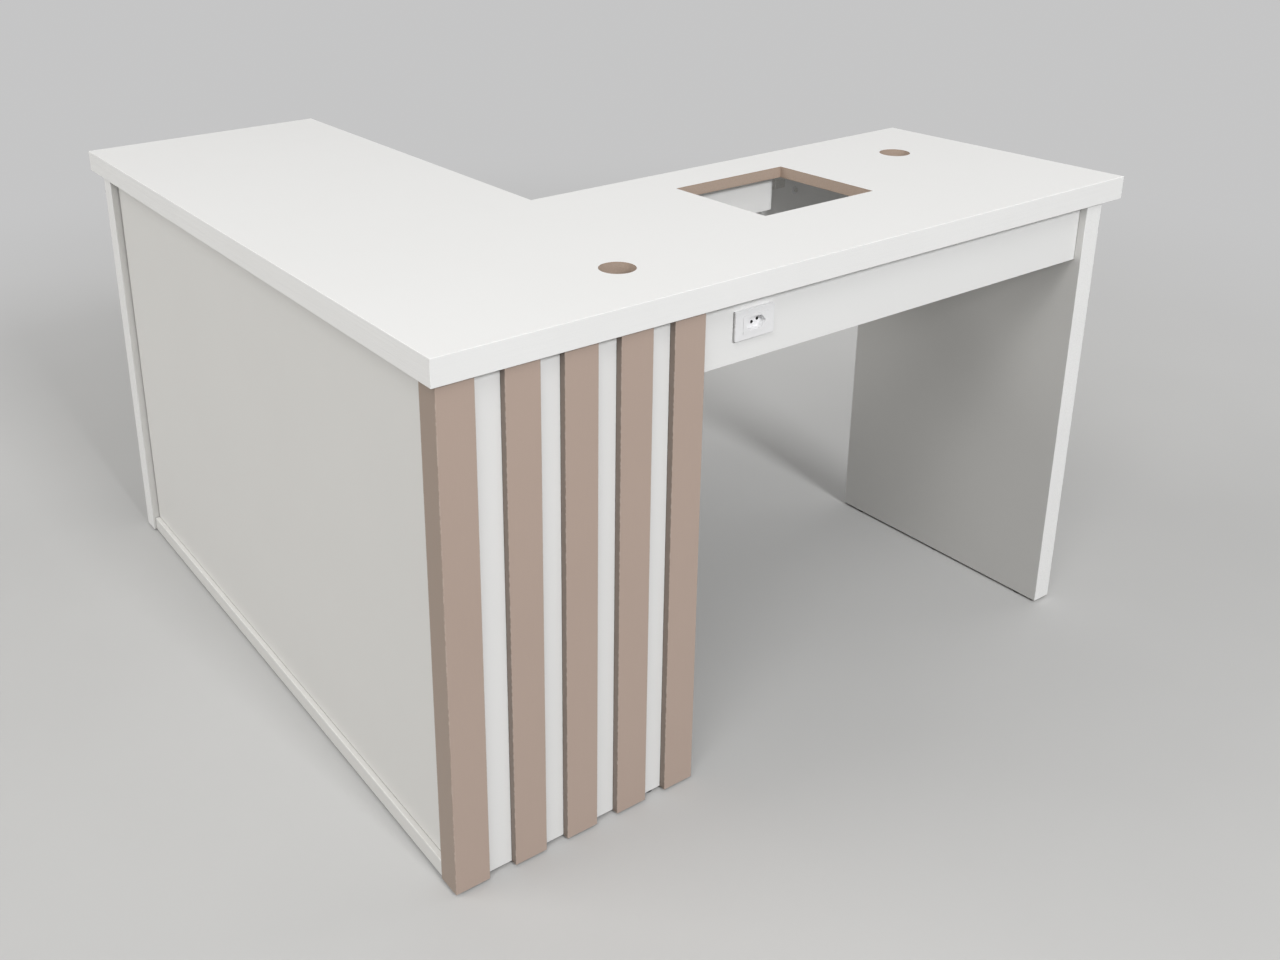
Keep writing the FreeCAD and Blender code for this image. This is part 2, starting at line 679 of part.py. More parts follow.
# Socket: bezel with its collar, insert with the recess, contacts, clips and rear cap
def socket():
    insert_front = bezel_front - insert_proud
    collar_back = apron_front + collar_depth
    plate = panel_block(socket_x, bezel_width, bezel_height, bezel_front, bezel_thickness, bezel_corner_radius)
    face_rim = [edge for edge in plate.Edges if max(v.Y for v in edge.Vertexes) == bezel_front]
    plate = plate.makeFillet(bezel_edge_radius, face_rim)
    collar = panel_block(socket_x, collar_width, collar_height, apron_front, collar_depth, collar_wall)
    inner_width = collar_width - 2 * collar_wall
    inner_height = collar_height - 2 * collar_wall
    hollow = panel_block(socket_x, inner_width, inner_height, apron_front, collar_depth + overrun, 0)
    window_width = insert_width + 2 * insert_clearance
    window_height = insert_height + 2 * insert_clearance
    window = panel_block(module_x, window_width, window_height,
                         bezel_front - overrun, bezel_thickness + 2 * overrun, insert_corner_radius)
    bezel = plate.fuse(collar).cut(hollow).cut(window).removeSplitter()
    bezel_left = socket_x - bezel_width / 2
    notch = block(bezel_left - overrun, apron_front - pry_notch_length, socket_z - pry_notch_height / 2,
                  bezel_left + pry_notch_depth, apron_front, socket_z + pry_notch_height / 2)
    bezel = bezel.cut(notch)
    boss_reach = inner_width / 2 - cap_boss_inset
    screw_places = [(socket_x + side * boss_reach, socket_z) for side in (-1, 1)]
    for x, z in screw_places:
        boss_depth = cap_screw_length + overrun
        boss = rod(cap_boss_radius, boss_depth, point(x, collar_back - boss_depth, z), y_way)
        bezel = bezel.fuse(boss)
    add("socket_bezel", bezel.removeSplitter())

    nose = panel_block(module_x, insert_width, insert_height, insert_front, insert_depth, insert_corner_radius)
    flange = panel_block(module_x, insert_width + 2 * flange_margin, window_height + flange_margin / 2,
                         apron_front, flange_thickness, insert_corner_radius)
    insert = nose.fuse(flange).cut(recess_shape(insert_front, recess_depth))
    floor = insert_front + recess_depth
    insert_back = insert_front + insert_depth
    for x, z in pin_places():
        insert = insert.cut(rod(pin_hole_radius, pin_hole_length, point(x, floor, z), y_way))
        sleeve_front = floor + pin_hole_length
        sleeve_length = insert_back - sleeve_front
        start = point(x, sleeve_front, z)
        insert = insert.cut(rod(sleeve_radius + sleeve_fit, sleeve_length, start, y_way))
        sleeve = rod(sleeve_radius, sleeve_length, start, y_way)
        sleeve = sleeve.cut(rod(pin_hole_radius, sleeve_length, start, y_way))
        add("socket_contacts", sleeve)
        end = point(x, insert_back, z)
        terminal = rod(sleeve_radius, terminal_length, end, y_way)
        screw_start = point(x, insert_back + terminal_length / 2, z + sleeve_radius - terminal_radius / 2)
        terminal = terminal.cut(rod(terminal_radius / 2, terminal_length, screw_start, z_way))
        add("socket_terminals", terminal)
        add("socket_terminal_screws", rod(terminal_radius / 2 - sleeve_fit, terminal_radius, screw_start, z_way))
    add("socket_insert", insert.removeSplitter())

    for side in (-1, 1):
        wall = socket_x + side * collar_width / 2
        tip = wall + side * clip_reach
        z0 = socket_z - clip_height / 2
        clip = block(min(wall, tip), apron_back, z0, max(wall, tip), apron_back + clip_length, z0 + clip_height)
        slope = [point(tip, apron_back + bezel_thickness, z0 - overrun),
                 point(tip, apron_back + clip_length, z0 - overrun),
                 point(wall, apron_back + clip_length, z0 - overrun)]
        clip = clip.cut(prism(slope, clip_height + 2 * overrun))
        add("socket_clips", clip)

    cap = panel_block(socket_x, collar_width, collar_height, collar_back, cap_thickness, collar_wall)
    grommet_start = point(socket_x, collar_back, socket_z)
    cap = cap.cut(rod(grommet_radius + grommet_fit, cap_thickness, grommet_start, y_way))
    for x, z in screw_places:
        seat = point(x, collar_back + cap_thickness, z)
        head = rod(cap_screw_head_radius, cap_screw_head_height, seat, y_way)
        shank = rod(cap_screw_radius, cap_screw_length, seat, -y_way)
        add("socket_cap_screws", head.fuse(shank).removeSplitter())
        bore = rod(cap_screw_radius + cap_screw_fit, cap_screw_length, seat, -y_way)
        cap = cap.cut(bore)
        drill("socket_bezel", bore)
    add("socket_back_cap", cap)
    barrel = rod(grommet_radius, cap_thickness, grommet_start, y_way)
    lip_start = grommet_start + y_way * cap_thickness
    lip = rod(grommet_radius + grommet_lip, grommet_lip_height, lip_start, y_way)
    ring = barrel.fuse(lip).removeSplitter()
    ring = ring.cut(rod(grommet_bore_radius, cap_thickness + grommet_lip_height, grommet_start, y_way))
    add("socket_cable_grommet", ring)


# Cut the holes, move the origin under the middle of the desk and write one file per node
def write_parts():
    os.makedirs("parts", exist_ok=True)
    shift = point(-top_length / 2, -top_width / 2, 0)
    for node, shapes in solids.items():
        finished = []
        for shape in shapes:
            for hole in holes.get(node, []):
                shape = shape.cut(hole)
            shape.translate(shift)
            finished.extend(shape.Solids)
        result = finished[0] if len(finished) == 1 else Part.makeCompound(finished)
        result.exportStep("parts/%s.step" % node)
        print(node, len(finished), "solid(s), valid:", result.isValid())


worktop()
right_gable()
far_gable()
slatted_end()
outer_side()
front_wing_frame()
rail_joints()
panel_joints()
top_joints()
stop_screw()
glides()
socket()
write_parts()
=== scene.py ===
import json
import math

import bmesh
import bpy
from mathutils import Matrix, Vector


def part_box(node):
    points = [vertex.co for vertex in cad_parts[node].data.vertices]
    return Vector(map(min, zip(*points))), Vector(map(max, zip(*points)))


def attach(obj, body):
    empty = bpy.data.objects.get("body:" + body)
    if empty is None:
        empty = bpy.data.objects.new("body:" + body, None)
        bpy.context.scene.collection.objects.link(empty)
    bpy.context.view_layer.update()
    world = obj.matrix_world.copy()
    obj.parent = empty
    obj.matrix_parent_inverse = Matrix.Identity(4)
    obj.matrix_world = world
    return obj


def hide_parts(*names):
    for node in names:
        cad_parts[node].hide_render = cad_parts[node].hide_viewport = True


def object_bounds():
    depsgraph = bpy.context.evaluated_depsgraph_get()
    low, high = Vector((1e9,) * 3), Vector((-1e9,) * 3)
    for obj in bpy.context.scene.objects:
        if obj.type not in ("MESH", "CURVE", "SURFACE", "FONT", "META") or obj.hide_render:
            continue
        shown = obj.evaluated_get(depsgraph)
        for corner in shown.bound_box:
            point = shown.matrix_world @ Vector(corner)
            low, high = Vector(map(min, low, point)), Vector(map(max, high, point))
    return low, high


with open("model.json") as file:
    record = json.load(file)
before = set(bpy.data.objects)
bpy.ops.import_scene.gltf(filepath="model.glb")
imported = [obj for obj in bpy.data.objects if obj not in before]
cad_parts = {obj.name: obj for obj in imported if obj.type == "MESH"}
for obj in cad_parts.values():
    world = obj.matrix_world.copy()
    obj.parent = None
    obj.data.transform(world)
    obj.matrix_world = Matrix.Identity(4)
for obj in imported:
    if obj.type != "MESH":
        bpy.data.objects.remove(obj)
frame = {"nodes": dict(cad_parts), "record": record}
cadLow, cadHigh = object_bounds()
nodes = frame["nodes"]
print("desk frame loaded with", len(nodes), "nodes")

mm = 0.001
squareOn = 0.5  # a surface faces an axis when its normal reaches further than this along it
middling = 0.5  # the level that a noise swings about


# Shader sums: a Wire is a socket that can stand in a Python expression

class Wire:
    def __init__(self, finish, socket):
        self.finish = finish
        self.socket = socket

    def maths(self, operation, *others):
        return self.finish.number(operation, self, *others)

    def __add__(self, other):
        return self.maths("ADD", other)

    def __radd__(self, other):
        return self.maths("ADD", other)

    def __sub__(self, other):
        return self.maths("SUBTRACT", other)

    def __rsub__(self, other):
        return self.finish.number("SUBTRACT", other, self)

    def __mul__(self, other):
        return self.maths("MULTIPLY", other)

    def __rmul__(self, other):
        return self.maths("MULTIPLY", other)

    def __pow__(self, other):
        return self.maths("POWER", other)

    def __abs__(self):
        return self.maths("ABSOLUTE")

    def least(self, other):
        return self.maths("MINIMUM", other)

    def most(self, other):
        return self.maths("MAXIMUM", other)

    def above(self, level):
        return self.maths("GREATER_THAN", level)

    def fitted(self, start, end):  # 0 at start, 1 at end, smooth and kept between them
        values = {"Value": self, "From Min": start, "From Max": end}
        return self.finish.take("ShaderNodeMapRange", {"interpolation_type": "SMOOTHSTEP"}, values)

    def swing(self, amount):  # a noise turned into a little more and a little less
        return (self - middling) * amount


class Finish:
    def __init__(self, name, target=None):
        self.material = target or bpy.data.materials.new(name)
        self.material.use_nodes = True
        self.tree = self.material.node_tree
        self.tree.nodes.clear()
        self.kept = {}

    def add(self, kind, settings, values):
        node = self.tree.nodes.new(kind)
        for name, value in settings.items():
            setattr(node, name, value)
        pairs = values.items() if isinstance(values, dict) else enumerate(values)
        for key, value in pairs:
            if isinstance(value, Wire):
                self.tree.links.new(value.socket, node.inputs[key])
            else:
                node.inputs[key].default_value = value
        return node

    def take(self, kind, settings, values, output=0):
        return Wire(self, self.add(kind, settings, values).outputs[output])

    def number(self, operation, *values):
        return self.take("ShaderNodeMath", {"operation": operation}, list(values))

    def place(self):  # metres in the desk's own frame
        if "place" not in self.kept:
            self.kept["place"] = self.take("ShaderNodeTexCoord", {}, {}, "Object")
        return self.kept["place"]

    def parts(self, wire):
        node = self.add("ShaderNodeSeparateXYZ", {}, [wire])
        return [Wire(self, out) for out in node.outputs]

    def faces(self, axis):  # 1 where the surface faces along X, Y or Z, either way
        if "normal" not in self.kept:
            self.kept["normal"] = self.parts(self.take("ShaderNodeNewGeometry", {}, {}, "True Normal"))
        return abs(self.kept["normal"][axis]).above(squareOn)

    def noise(self, scale, detail=2.0, rough=0.5, vector=None):
        values = {"Vector": vector or self.place(), "Scale": scale, "Detail": detail, "Roughness": rough}
        return self.take("ShaderNodeTexNoise", {}, values)

    def drawn(self, scales, detail=2.0, rough=0.5):  # a noise with a scale of its own along each axis
        vector = self.take("ShaderNodeMapping", {}, {"Vector": self.place(), "Scale": scales})
        return self.noise(1.0, detail, rough, vector)

    def mix(self, factor, first, second):
        node = self.add("ShaderNodeMix", {"data_type": "RGBA", "blend_type": "MIX"}, {})
        values = (factor, first, second)
        for socket, value in zip((node.inputs[0], node.inputs[6], node.inputs[7]), values):
            if isinstance(value, Wire):
                self.tree.links.new(value.socket, socket)
            else:
                socket.default_value = (*value, 1.0) if isinstance(value, tuple) else value
        return Wire(self, node.outputs[2])

    def bump(self, height, distance, strength):
        values = {"Height": height, "Distance": distance, "Strength": strength}
        return self.take("ShaderNodeBump", {}, values, "Normal")

    def surface(self, values):
        shader = self.take("ShaderNodeBsdfPrincipled", {}, values)
        self.add("ShaderNodeOutputMaterial", {}, {"Surface": shader})
        return self.material


# White and taupe faced boards, with their raw core where it shows

boardSkin = {  # here and below, a noise is given as its scale, detail and roughness
    "cloud": (3.5, 3.0, 0.55),
    "cloudShare": 0.55,
    "pearlShare": 0.20,
    "grainShare": 0.5,
    "toneFrom": 0.22,
    "toneTo": 0.78,
    "cloudRough": 0.10,
    "pearlRough": 0.12,
    "bumpStrength": 0.35,
    "ior": 1.48,
}
whiteBoard = {
    "face": (0.84, 0.84, 0.835),
    "shade": (0.815, 0.815, 0.808),
    "worn": (0.86, 0.86, 0.855),
    "roughness": 0.40,
    "pearl": (1150.0, 2.0, 0.6),
    "pearlDepth": 0.05 * mm,
    "grain": ((260.0, 260.0, 260.0), 3.0, 0.6),
    "grainDepth": 0.0,
}
# the same white board painted greyer, standing in for the shade on the gables, panels and rails under the
# worktop
shadedWhiteBoard = dict(whiteBoard, face=(0.735, 0.729, 0.711), shade=(0.713, 0.706, 0.688))
taupeBoard = {
    "face": (0.465, 0.361, 0.304),
    "shade": (0.441, 0.341, 0.287),
    "worn": (0.545, 0.45, 0.395),
    # sides along X painted darker, standing in for the shade they lie in
    "shadedSides": (0.350, 0.275, 0.227),
    "roughness": 0.44,
    "pearl": (950.0, 2.0, 0.6),
    "pearlDepth": 0.06 * mm,
    "grain": ((900.0, 900.0, 45.0), 3.0, 0.6),
    "grainDepth": 0.55,
}
# the slats' sides painted darker still, for the deeper shade in the narrow gaps between slats
slatBoard = dict(taupeBoard, shadedSides=(0.255, 0.200, 0.165))
rawCore = {
    "light": (0.45, 0.354, 0.29),
    "dark": (0.4, 0.308, 0.248),
    "skin": (0.36, 0.27, 0.21),
    "chips": (420.0, 4.0, 0.7),
    "chipShare": 0.7,
    "dust": (1900.0, 2.0, 0.6),
    "dustShare": 0.3,
    "toneFrom": 0.34,
    "toneTo": 0.66,
    "skinFrom": 0.6 * mm,
    "skinTo": 2.6 * mm,
    "skinRagged": 1.2 * mm,
    "skinShare": 0.55,
    "roughness": 0.86,
    "faceDepth": 0.2,
    "fibreDepth": 0.25 * mm,
}
wear = {"width": 2.2 * mm, "noise": (160.0, 3.0), "from": 0.42, "to": 0.62, "share": 0.55, "rough": 0.08}
# painted shade, with some dust, in a thin dark line where a board meets its neighbours
jointShadeAndDust = {
    "colour": (0.085, 0.075, 0.065),
    "width": 1.8 * mm,
    "noise": (240.0, 3.0),
    "ragged": 0.8 * mm,
    "share": 0.80,
    "rough": 0.2,
}


def nearSides(finish, low, high, sides, width):
    # 1 at the named sides of a board's box, 0 at width away from them
    places = finish.parts(finish.place())
    nearest = None
    for side in sides:
        axis = "xyz".index(side[1])
        gap = places[axis] - low[axis] if side[0] == "-" else high[axis] - places[axis]
        nearest = gap if nearest is None else nearest.least(gap)
    return 1 - nearest.fitted(0.0, width)


def edgeNearness(finish, low, high):
    # 1 at the edges of a box-shaped board, 0 a little way in
    gaps = []
    for part, start, end in zip(finish.parts(finish.place()), low, high):
        gaps.append((part - start).least(end - part))
    small = gaps[0].least(gaps[1])
    large = gaps[0].most(gaps[1])
    second = small.most(large.least(gaps[2]))
    return 1 - second.fitted(0.0, wear["width"])


def coreBody(finish, chips, dust, low, high, skinned):
    # raw board; its pressed skins are denser and darker
    tone = chips * rawCore["chipShare"] + dust * rawCore["dustShare"]
    body = finish.mix(tone.fitted(rawCore["toneFrom"], rawCore["toneTo"]), rawCore["dark"], rawCore["light"])
    if not skinned:
        return body
    height = finish.parts(finish.place())[2]
    depth = (height - low[2]).least(high[2] - height) + chips.swing(rawCore["skinRagged"])
    skin = 1 - depth.fitted(rawCore["skinFrom"], rawCore["skinTo"])
    return finish.mix(skin * rawCore["skinShare"], body, rawCore["skin"])


def boardFinish(name, look, low, high, coreFaces, shadedJoints):
    finish = Finish(name)
    cloud = finish.noise(*boardSkin["cloud"])
    pearl = finish.noise(*look["pearl"])
    grain = finish.drawn(*look["grain"]) * look["grainDepth"]
    worn = finish.noise(*wear["noise"]).fitted(wear["from"], wear["to"])
    scuff = edgeNearness(finish, low, high) * worn

    tone = cloud * boardSkin["cloudShare"] + pearl * boardSkin["pearlShare"] + grain * boardSkin["grainShare"]
    tone = tone.fitted(boardSkin["toneFrom"], boardSkin["toneTo"])
    colour = finish.mix(tone, look["face"], look["shade"])
    if "shadedSides" in look:  # the sides along X are painted darker than the face, standing in for the shade they lie in
        colour = finish.mix(finish.faces(0), colour, look["shadedSides"])
    colour = finish.mix(scuff * wear["share"], colour, look["worn"])
    rough = look["roughness"] + cloud.swing(boardSkin["cloudRough"]) + pearl.swing(boardSkin["pearlRough"])
    rough = rough + scuff * wear["rough"]
    height, bumpDepth = pearl + grain, look["pearlDepth"]
    if coreFaces:
        raw = finish.faces(2) if coreFaces == "ends" else 1 - finish.faces(2)
        chips, dust = finish.noise(*rawCore["chips"]), finish.noise(*rawCore["dust"])
        colour = finish.mix(raw, colour, coreBody(finish, chips, dust, low, high, coreFaces == "sides"))
        rough = rough * (1 - raw) + raw * rawCore["roughness"]
        height = height * (1 - raw) * rawCore["faceDepth"] + raw * (chips + dust)
        bumpDepth = rawCore["fibreDepth"]
    if shadedJoints:  # painted shade and dust gathered where the board meets its neighbours
        ragged = jointShadeAndDust["ragged"] * finish.noise(*jointShadeAndDust["noise"])
        paintedJointShade = nearSides(finish, low, high, shadedJoints, jointShadeAndDust["width"] + ragged)
        colour = finish.mix(paintedJointShade * jointShadeAndDust["share"], colour, jointShadeAndDust["colour"])
        rough = rough + paintedJointShade * jointShadeAndDust["rough"]
    bump = finish.bump(height, bumpDepth, boardSkin["bumpStrength"])
    values = {"Base Color": colour, "Roughness": rough, "Normal": bump, "IOR": boardSkin["ior"]}
    return finish.surface(values)


def dress(node, material):
    slots = nodes[node].data.materials
    slots.clear()
    slots.append(material)


# look, which of its faces show raw core, and the sides that meet a neighbour, where shade and dust are
# painted
boards = {
    "worktop_board": (whiteBoard, "sides", ()),
    "buildup_front": (whiteBoard, "sides", ()),
    "buildup_right": (whiteBoard, "sides", ()),
    "buildup_rear": (whiteBoard, "sides", ()),
    "buildup_inner": (whiteBoard, "sides", ()),
    "buildup_far": (whiteBoard, "sides", ()),
    "buildup_left": (whiteBoard, "sides", ()),
    "right_gable_inner_leaf": (shadedWhiteBoard, "ends", ("+z",)),
    "right_gable_outer_leaf": (shadedWhiteBoard, "ends", ("+z",)),
    "far_gable_inner_leaf": (shadedWhiteBoard, "ends", ("+z",)),
    "far_gable_outer_leaf": (shadedWhiteBoard, "ends", ("+z",)),
    "slat_backing": (whiteBoard, "ends", ("+z", "-x")),
    "modesty_panel": (shadedWhiteBoard, "ends", ("+z", "-z", "-y", "+y")),
    "inner_support_panel": (shadedWhiteBoard, "ends", ("+z",)),
    "base_rail": (shadedWhiteBoard, None, ("-y", "+y")),
    "apron": (whiteBoard, None, ("+z", "-x", "+x")),
    "rear_rail": (whiteBoard, None, ("+z", "-x", "+x")),
    "cutout_batten": (whiteBoard, None, ("+z",)),
    "corner_post": (taupeBoard, None, ("+z",)),
    "slat_2": (slatBoard, None, ("+z", "+y")),
    "slat_3": (slatBoard, None, ("+z", "+y")),
    "slat_4": (slatBoard, None, ("+z", "+y")),
    "slat_5": (slatBoard, None, ("+z", "+y")),
}
for node, (look, coreFaces, shadedJoints) in boards.items():
    low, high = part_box(node)
    tint = "taupeBoard" if "shadedSides" in look else "whiteBoard"
    dress(node, boardFinish(tint + "." + node, look, low, high, coreFaces, shadedJoints))

easedArris = {
    "boards": ("apron", "inner_support_panel", "cutout_batten"),
    "width": 0.5 * mm,
    "weld": 0.01 * mm,
    "flatUnder": math.radians(1),
    "roundOver": math.radians(50),
    "rounds": 2,
}
normalWeight = 100  # large flat faces alone set the shading normals


def easeArris(node):
    piece = nodes[node]
    weld = piece.modifiers.new("oneSkin", "WELD")
    weld.merge_threshold = easedArris["weld"]
    flat = piece.modifiers.new("wholeFaces", "DECIMATE")
    flat.decimate_type = "DISSOLVE"
    flat.angle_limit = easedArris["flatUnder"]
    bevel = piece.modifiers.new("easedArris", "BEVEL")
    bevel.width = easedArris["width"]
    bevel.segments = easedArris["rounds"]
    bevel.limit_method = "ANGLE"
    bevel.angle_limit = easedArris["roundOver"]
    bevel.use_clamp_overlap = False
    weighted = piece.modifiers.new("flatFaces", "WEIGHTED_NORMAL")
    weighted.weight = normalWeight


for node in easedArris["boards"]:
    easeArris(node)
print("boards finished:", len(boards))


# Plastic edging: each band is made again with the arrises scraped round

edgeBand = {
    "colour": (0.885, 0.885, 0.88),
    "shade": (0.862, 0.862, 0.856),
    "roughness": 0.28,
    "thickness": 1.0 * mm,
    "arris": 0.8 * mm,
    "rounds": 4,
    "roundness": 0.5,
    "lineAlong": 5.0,
    "lineAcross": 700.0,
    "lineRough": 0.03,
    "lineBump": 0.25,
    "cloud": (9.0, 3.0),
    "cloudShare": 0.6,
    "pearl": (1400.0, 2.0, 0.6),
    "pearlShare": 0.4,
    "pearlRough": 0.16,
    "pearlBump": 0.6,
    "toneFrom": 0.3,
    "toneTo": 0.7,
    "bumpDepth": 0.006 * mm,
    "bumpStrength": 0.3,
    "ior": 1.49,
}
edgeBands = {  # the faces of each band that lie outside
    "edging_front": ("-x", "+x", "-y", "-z", "+z"),
    "edging_right": ("+x", "+y", "-z", "+z"),
    "edging_rear": ("+y", "-z", "+z"),
    "edging_inner": ("+x", "-z", "+z"),
    "edging_far": ("+x", "+y", "-z", "+z"),
    "edging_left": ("-x", "+y", "-z", "+z"),
}
gableBands = {  # the axis between a gable's two bands, and the sides of a band that lie outside
    "right_gable_edging": (1, ("-x", "+x")),
    "far_gable_edging": (0, ("-y", "+y")),
}
ways = {"x": Vector((1, 0, 0)), "y": Vector((0, 1, 0)), "z": Vector((0, 0, 1))}


def edgingFinish(name, upright):
    finish = Finish(name)
    along, across = edgeBand["lineAlong"], edgeBand["lineAcross"]
    lines = finish.drawn((across, across, along) if upright else (along, along, across))
    cloud = finish.noise(*edgeBand["cloud"])
    pearl = finish.noise(*edgeBand["pearl"])
    tone = cloud * edgeBand["cloudShare"] + pearl * edgeBand["pearlShare"]
    tone = tone.fitted(edgeBand["toneFrom"], edgeBand["toneTo"])
    colour = finish.mix(tone, edgeBand["colour"], edgeBand["shade"])
    rough = edgeBand["roughness"] + pearl.swing(edgeBand["pearlRough"]) + lines.swing(edgeBand["lineRough"])
    height = lines * edgeBand["lineBump"] + pearl * edgeBand["pearlBump"]
    bump = finish.bump(height, edgeBand["bumpDepth"], edgeBand["bumpStrength"])
    return finish.surface({"Base Color": colour, "Roughness": rough, "Normal": bump, "IOR": edgeBand["ior"]})


def roundedBars(name, bars, material):
    # bars are (low, high, outside faces); edges between two outside faces are rounded
    mesh = bpy.data.meshes.new(name)
    work = bmesh.new()
    rounded = []
    for low, high, outside in bars:
        made = bmesh.ops.create_cube(work, size=1.0)["verts"]
        size, middle = high - low, (high + low) / 2
        for vert in made:
            vert.co = Vector([vert.co[i] * size[i] + middle[i] for i in range(3)])
        work.normal_update()
        faces = {face for vert in made for face in vert.link_faces}
        wanted = [ways[side[1]] * (1 if side[0] == "+" else -1) for side in outside]
        outer = {face for face in faces if any(face.normal.dot(way) > squareOn for way in wanted)}
        rounded += [edge for edge in work.edges if set(edge.link_faces) <= outer]
    bmesh.ops.bevel(
        work, geom=rounded, offset=edgeBand["arris"], segments=edgeBand["rounds"],
        profile=edgeBand["roundness"], affect="EDGES", clamp_overlap=True,
    )
    for face in work.faces:
        face.smooth = True
    work.to_mesh(mesh)
    work.free()
    piece = bpy.data.objects.new(name, mesh)
    bpy.context.scene.collection.objects.link(piece)
    mesh.materials.append(material)
    weighted = piece.modifiers.new("flatFaces", "WEIGHTED_NORMAL")
    weighted.keep_sharp = True
    weighted.weight = normalWeight
    return piece


def layBand(node, bars, material):
    piece = roundedBars("band_" + node, bars, material)
    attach(piece, "root")
    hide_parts(node)


topEdging = edgingFinish("whiteTopEdging", upright=False)
for node, outside in edgeBands.items():
    layBand(node, [(*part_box(node), outside)], topEdging)
gableEdging = edgingFinish("whiteGableEdging", upright=True)
for node, (across, outside) in gableBands.items():
    low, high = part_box(node)
    nearHigh, farLow = high.copy(), low.copy()
    nearHigh[across] = low[across] + edgeBand["thickness"]
    farLow[across] = high[across] - edgeBand["thickness"]
    letter = "xyz"[across]
    bars = [(low, nearHigh, (*outside, "-" + letter)), (farLow, high, (*outside, "+" + letter))]
    layBand(node, bars, gableEdging)
print("edging bands rounded:", len(edgeBands) + len(gableBands))


# Fittings: zinc, brass, plastic, rubber and beech

metalSkin = {
    "flakeScale": 700.0,
    "flakeShare": 0.5,
    "cloud": (120.0, 4.0, 0.6),
    "cloudShare": 0.5,
    "cloudRough": 0.22,
    "drawn": (2500.0, 2500.0, 240.0),
    "drawnRough": 0.12,
    "drawnBump": 0.6,
    "toneFrom": 0.2,
    "toneTo": 0.75,
    "bumpStrength": 0.4,
}
zincPlate = {
    "light": (0.72, 0.71, 0.69), "dark": (0.56, 0.555, 0.54),
    "metallic": 0.65, "roughness": 0.38, "depth": 0.05 * mm,
}
zincCast = {
    "light": (0.52, 0.52, 0.53), "dark": (0.36, 0.36, 0.37),
    "metallic": 0.8, "roughness": 0.52, "depth": 0.10 * mm,
}
brass = {
    "light": (0.80, 0.60, 0.28), "dark": (0.62, 0.43, 0.18),
    "metallic": 1.0, "roughness": 0.30, "depth": 0.04 * mm,
}
pinWell = {"radius": 2.35 * mm, "colour": (0.012, 0.012, 0.012)}
pinPlaces = [mount["pos_m"] for mount in frame["record"]["mounts"] if mount["name"].endswith("_pin")]


def wells(finish):
    # 1 inside the socket's pin holes, where no light reaches
    x, _, z = finish.parts(finish.place())
    inside = 0
    for place in pinPlaces:
        across, up = x - place[0], z - place[2]
        inside = (pinWell["radius"] - (across * across + up * up) ** 0.5).above(0) + inside
    return inside


def metalFinish(name, look, holed=False):
    finish = Finish(name)
    values = {"Vector": finish.place(), "Scale": metalSkin["flakeScale"]}
    flakes = finish.take("ShaderNodeTexVoronoi", {}, values, "Distance")
    cloud = finish.noise(*metalSkin["cloud"])
    drawn = finish.drawn(metalSkin["drawn"])
    tone = flakes * metalSkin["flakeShare"] + cloud * metalSkin["cloudShare"]
    tone = tone.fitted(metalSkin["toneFrom"], metalSkin["toneTo"])
    colour = finish.mix(tone, look["dark"], look["light"])
    if holed:
        colour = finish.mix(wells(finish), colour, pinWell["colour"])
    rough = look["roughness"] + cloud.swing(metalSkin["cloudRough"]) + drawn.swing(metalSkin["drawnRough"])
    bump = finish.bump(drawn * metalSkin["drawnBump"] + cloud, look["depth"], metalSkin["bumpStrength"])
    values = {"Base Color": colour, "Metallic": look["metallic"], "Roughness": rough, "Normal": bump}
    return finish.surface(values)


mouldSkin = {
    "flow": (60.0, 3.0, 0.5),
    "flowShare": 0.7,
    "flowRough": 0.08,
    "flowBump": 0.3,
    "spark": (2600.0, 2.0, 0.6),
    "sparkShare": 0.3,
    "sparkRough": 0.14,
    "sparkBump": 0.7,
    "toneFrom": 0.3,
    "toneTo": 0.7,
    "bumpStrength": 0.4,
    "ior": 1.5,
}
whitePlastic = {
    "light": (0.85, 0.85, 0.862), "dark": (0.82, 0.82, 0.83),
    "roughness": 0.24, "depth": 0.02 * mm,
}
greyPlastic = {
    "light": (0.10, 0.10, 0.10), "dark": (0.06, 0.06, 0.06),
    "roughness": 0.55, "depth": 0.06 * mm,
}
blackRubber = {
    "light": (0.035, 0.035, 0.036), "dark": (0.02, 0.02, 0.02),
    "roughness": 0.78, "depth": 0.10 * mm,
}
bezelShade = {"colour": (0.22, 0.215, 0.21), "from": 0.5 * mm, "width": 4.6 * mm, "share": 0.9}


def mouldedFinish(name, look, holed=False, seat=None):
    finish = Finish(name)
    flow = finish.noise(*mouldSkin["flow"])
    spark = finish.noise(*mouldSkin["spark"])
    tone = flow * mouldSkin["flowShare"] + spark * mouldSkin["sparkShare"]
    colour = finish.mix(tone.fitted(mouldSkin["toneFrom"], mouldSkin["toneTo"]), look["dark"], look["light"])
    if holed:
        colour = finish.mix(wells(finish), colour, pinWell["colour"])
    if seat is not None:  # shade on the two ends, along the rim that rests on the apron
        away = abs(finish.parts(finish.place())[1] - seat)
        rim = (1 - away.fitted(bezelShade["from"], bezelShade["width"])) * finish.faces(0)
        colour = finish.mix(rim * bezelShade["share"], colour, bezelShade["colour"])
    rough = look["roughness"] + flow.swing(mouldSkin["flowRough"]) + spark.swing(mouldSkin["sparkRough"])
    height = spark * mouldSkin["sparkBump"] + flow * mouldSkin["flowBump"]
    bump = finish.bump(height, look["depth"], mouldSkin["bumpStrength"])
    return finish.surface({"Base Color": colour, "Roughness": rough, "Normal": bump, "IOR": mouldSkin["ior"]})


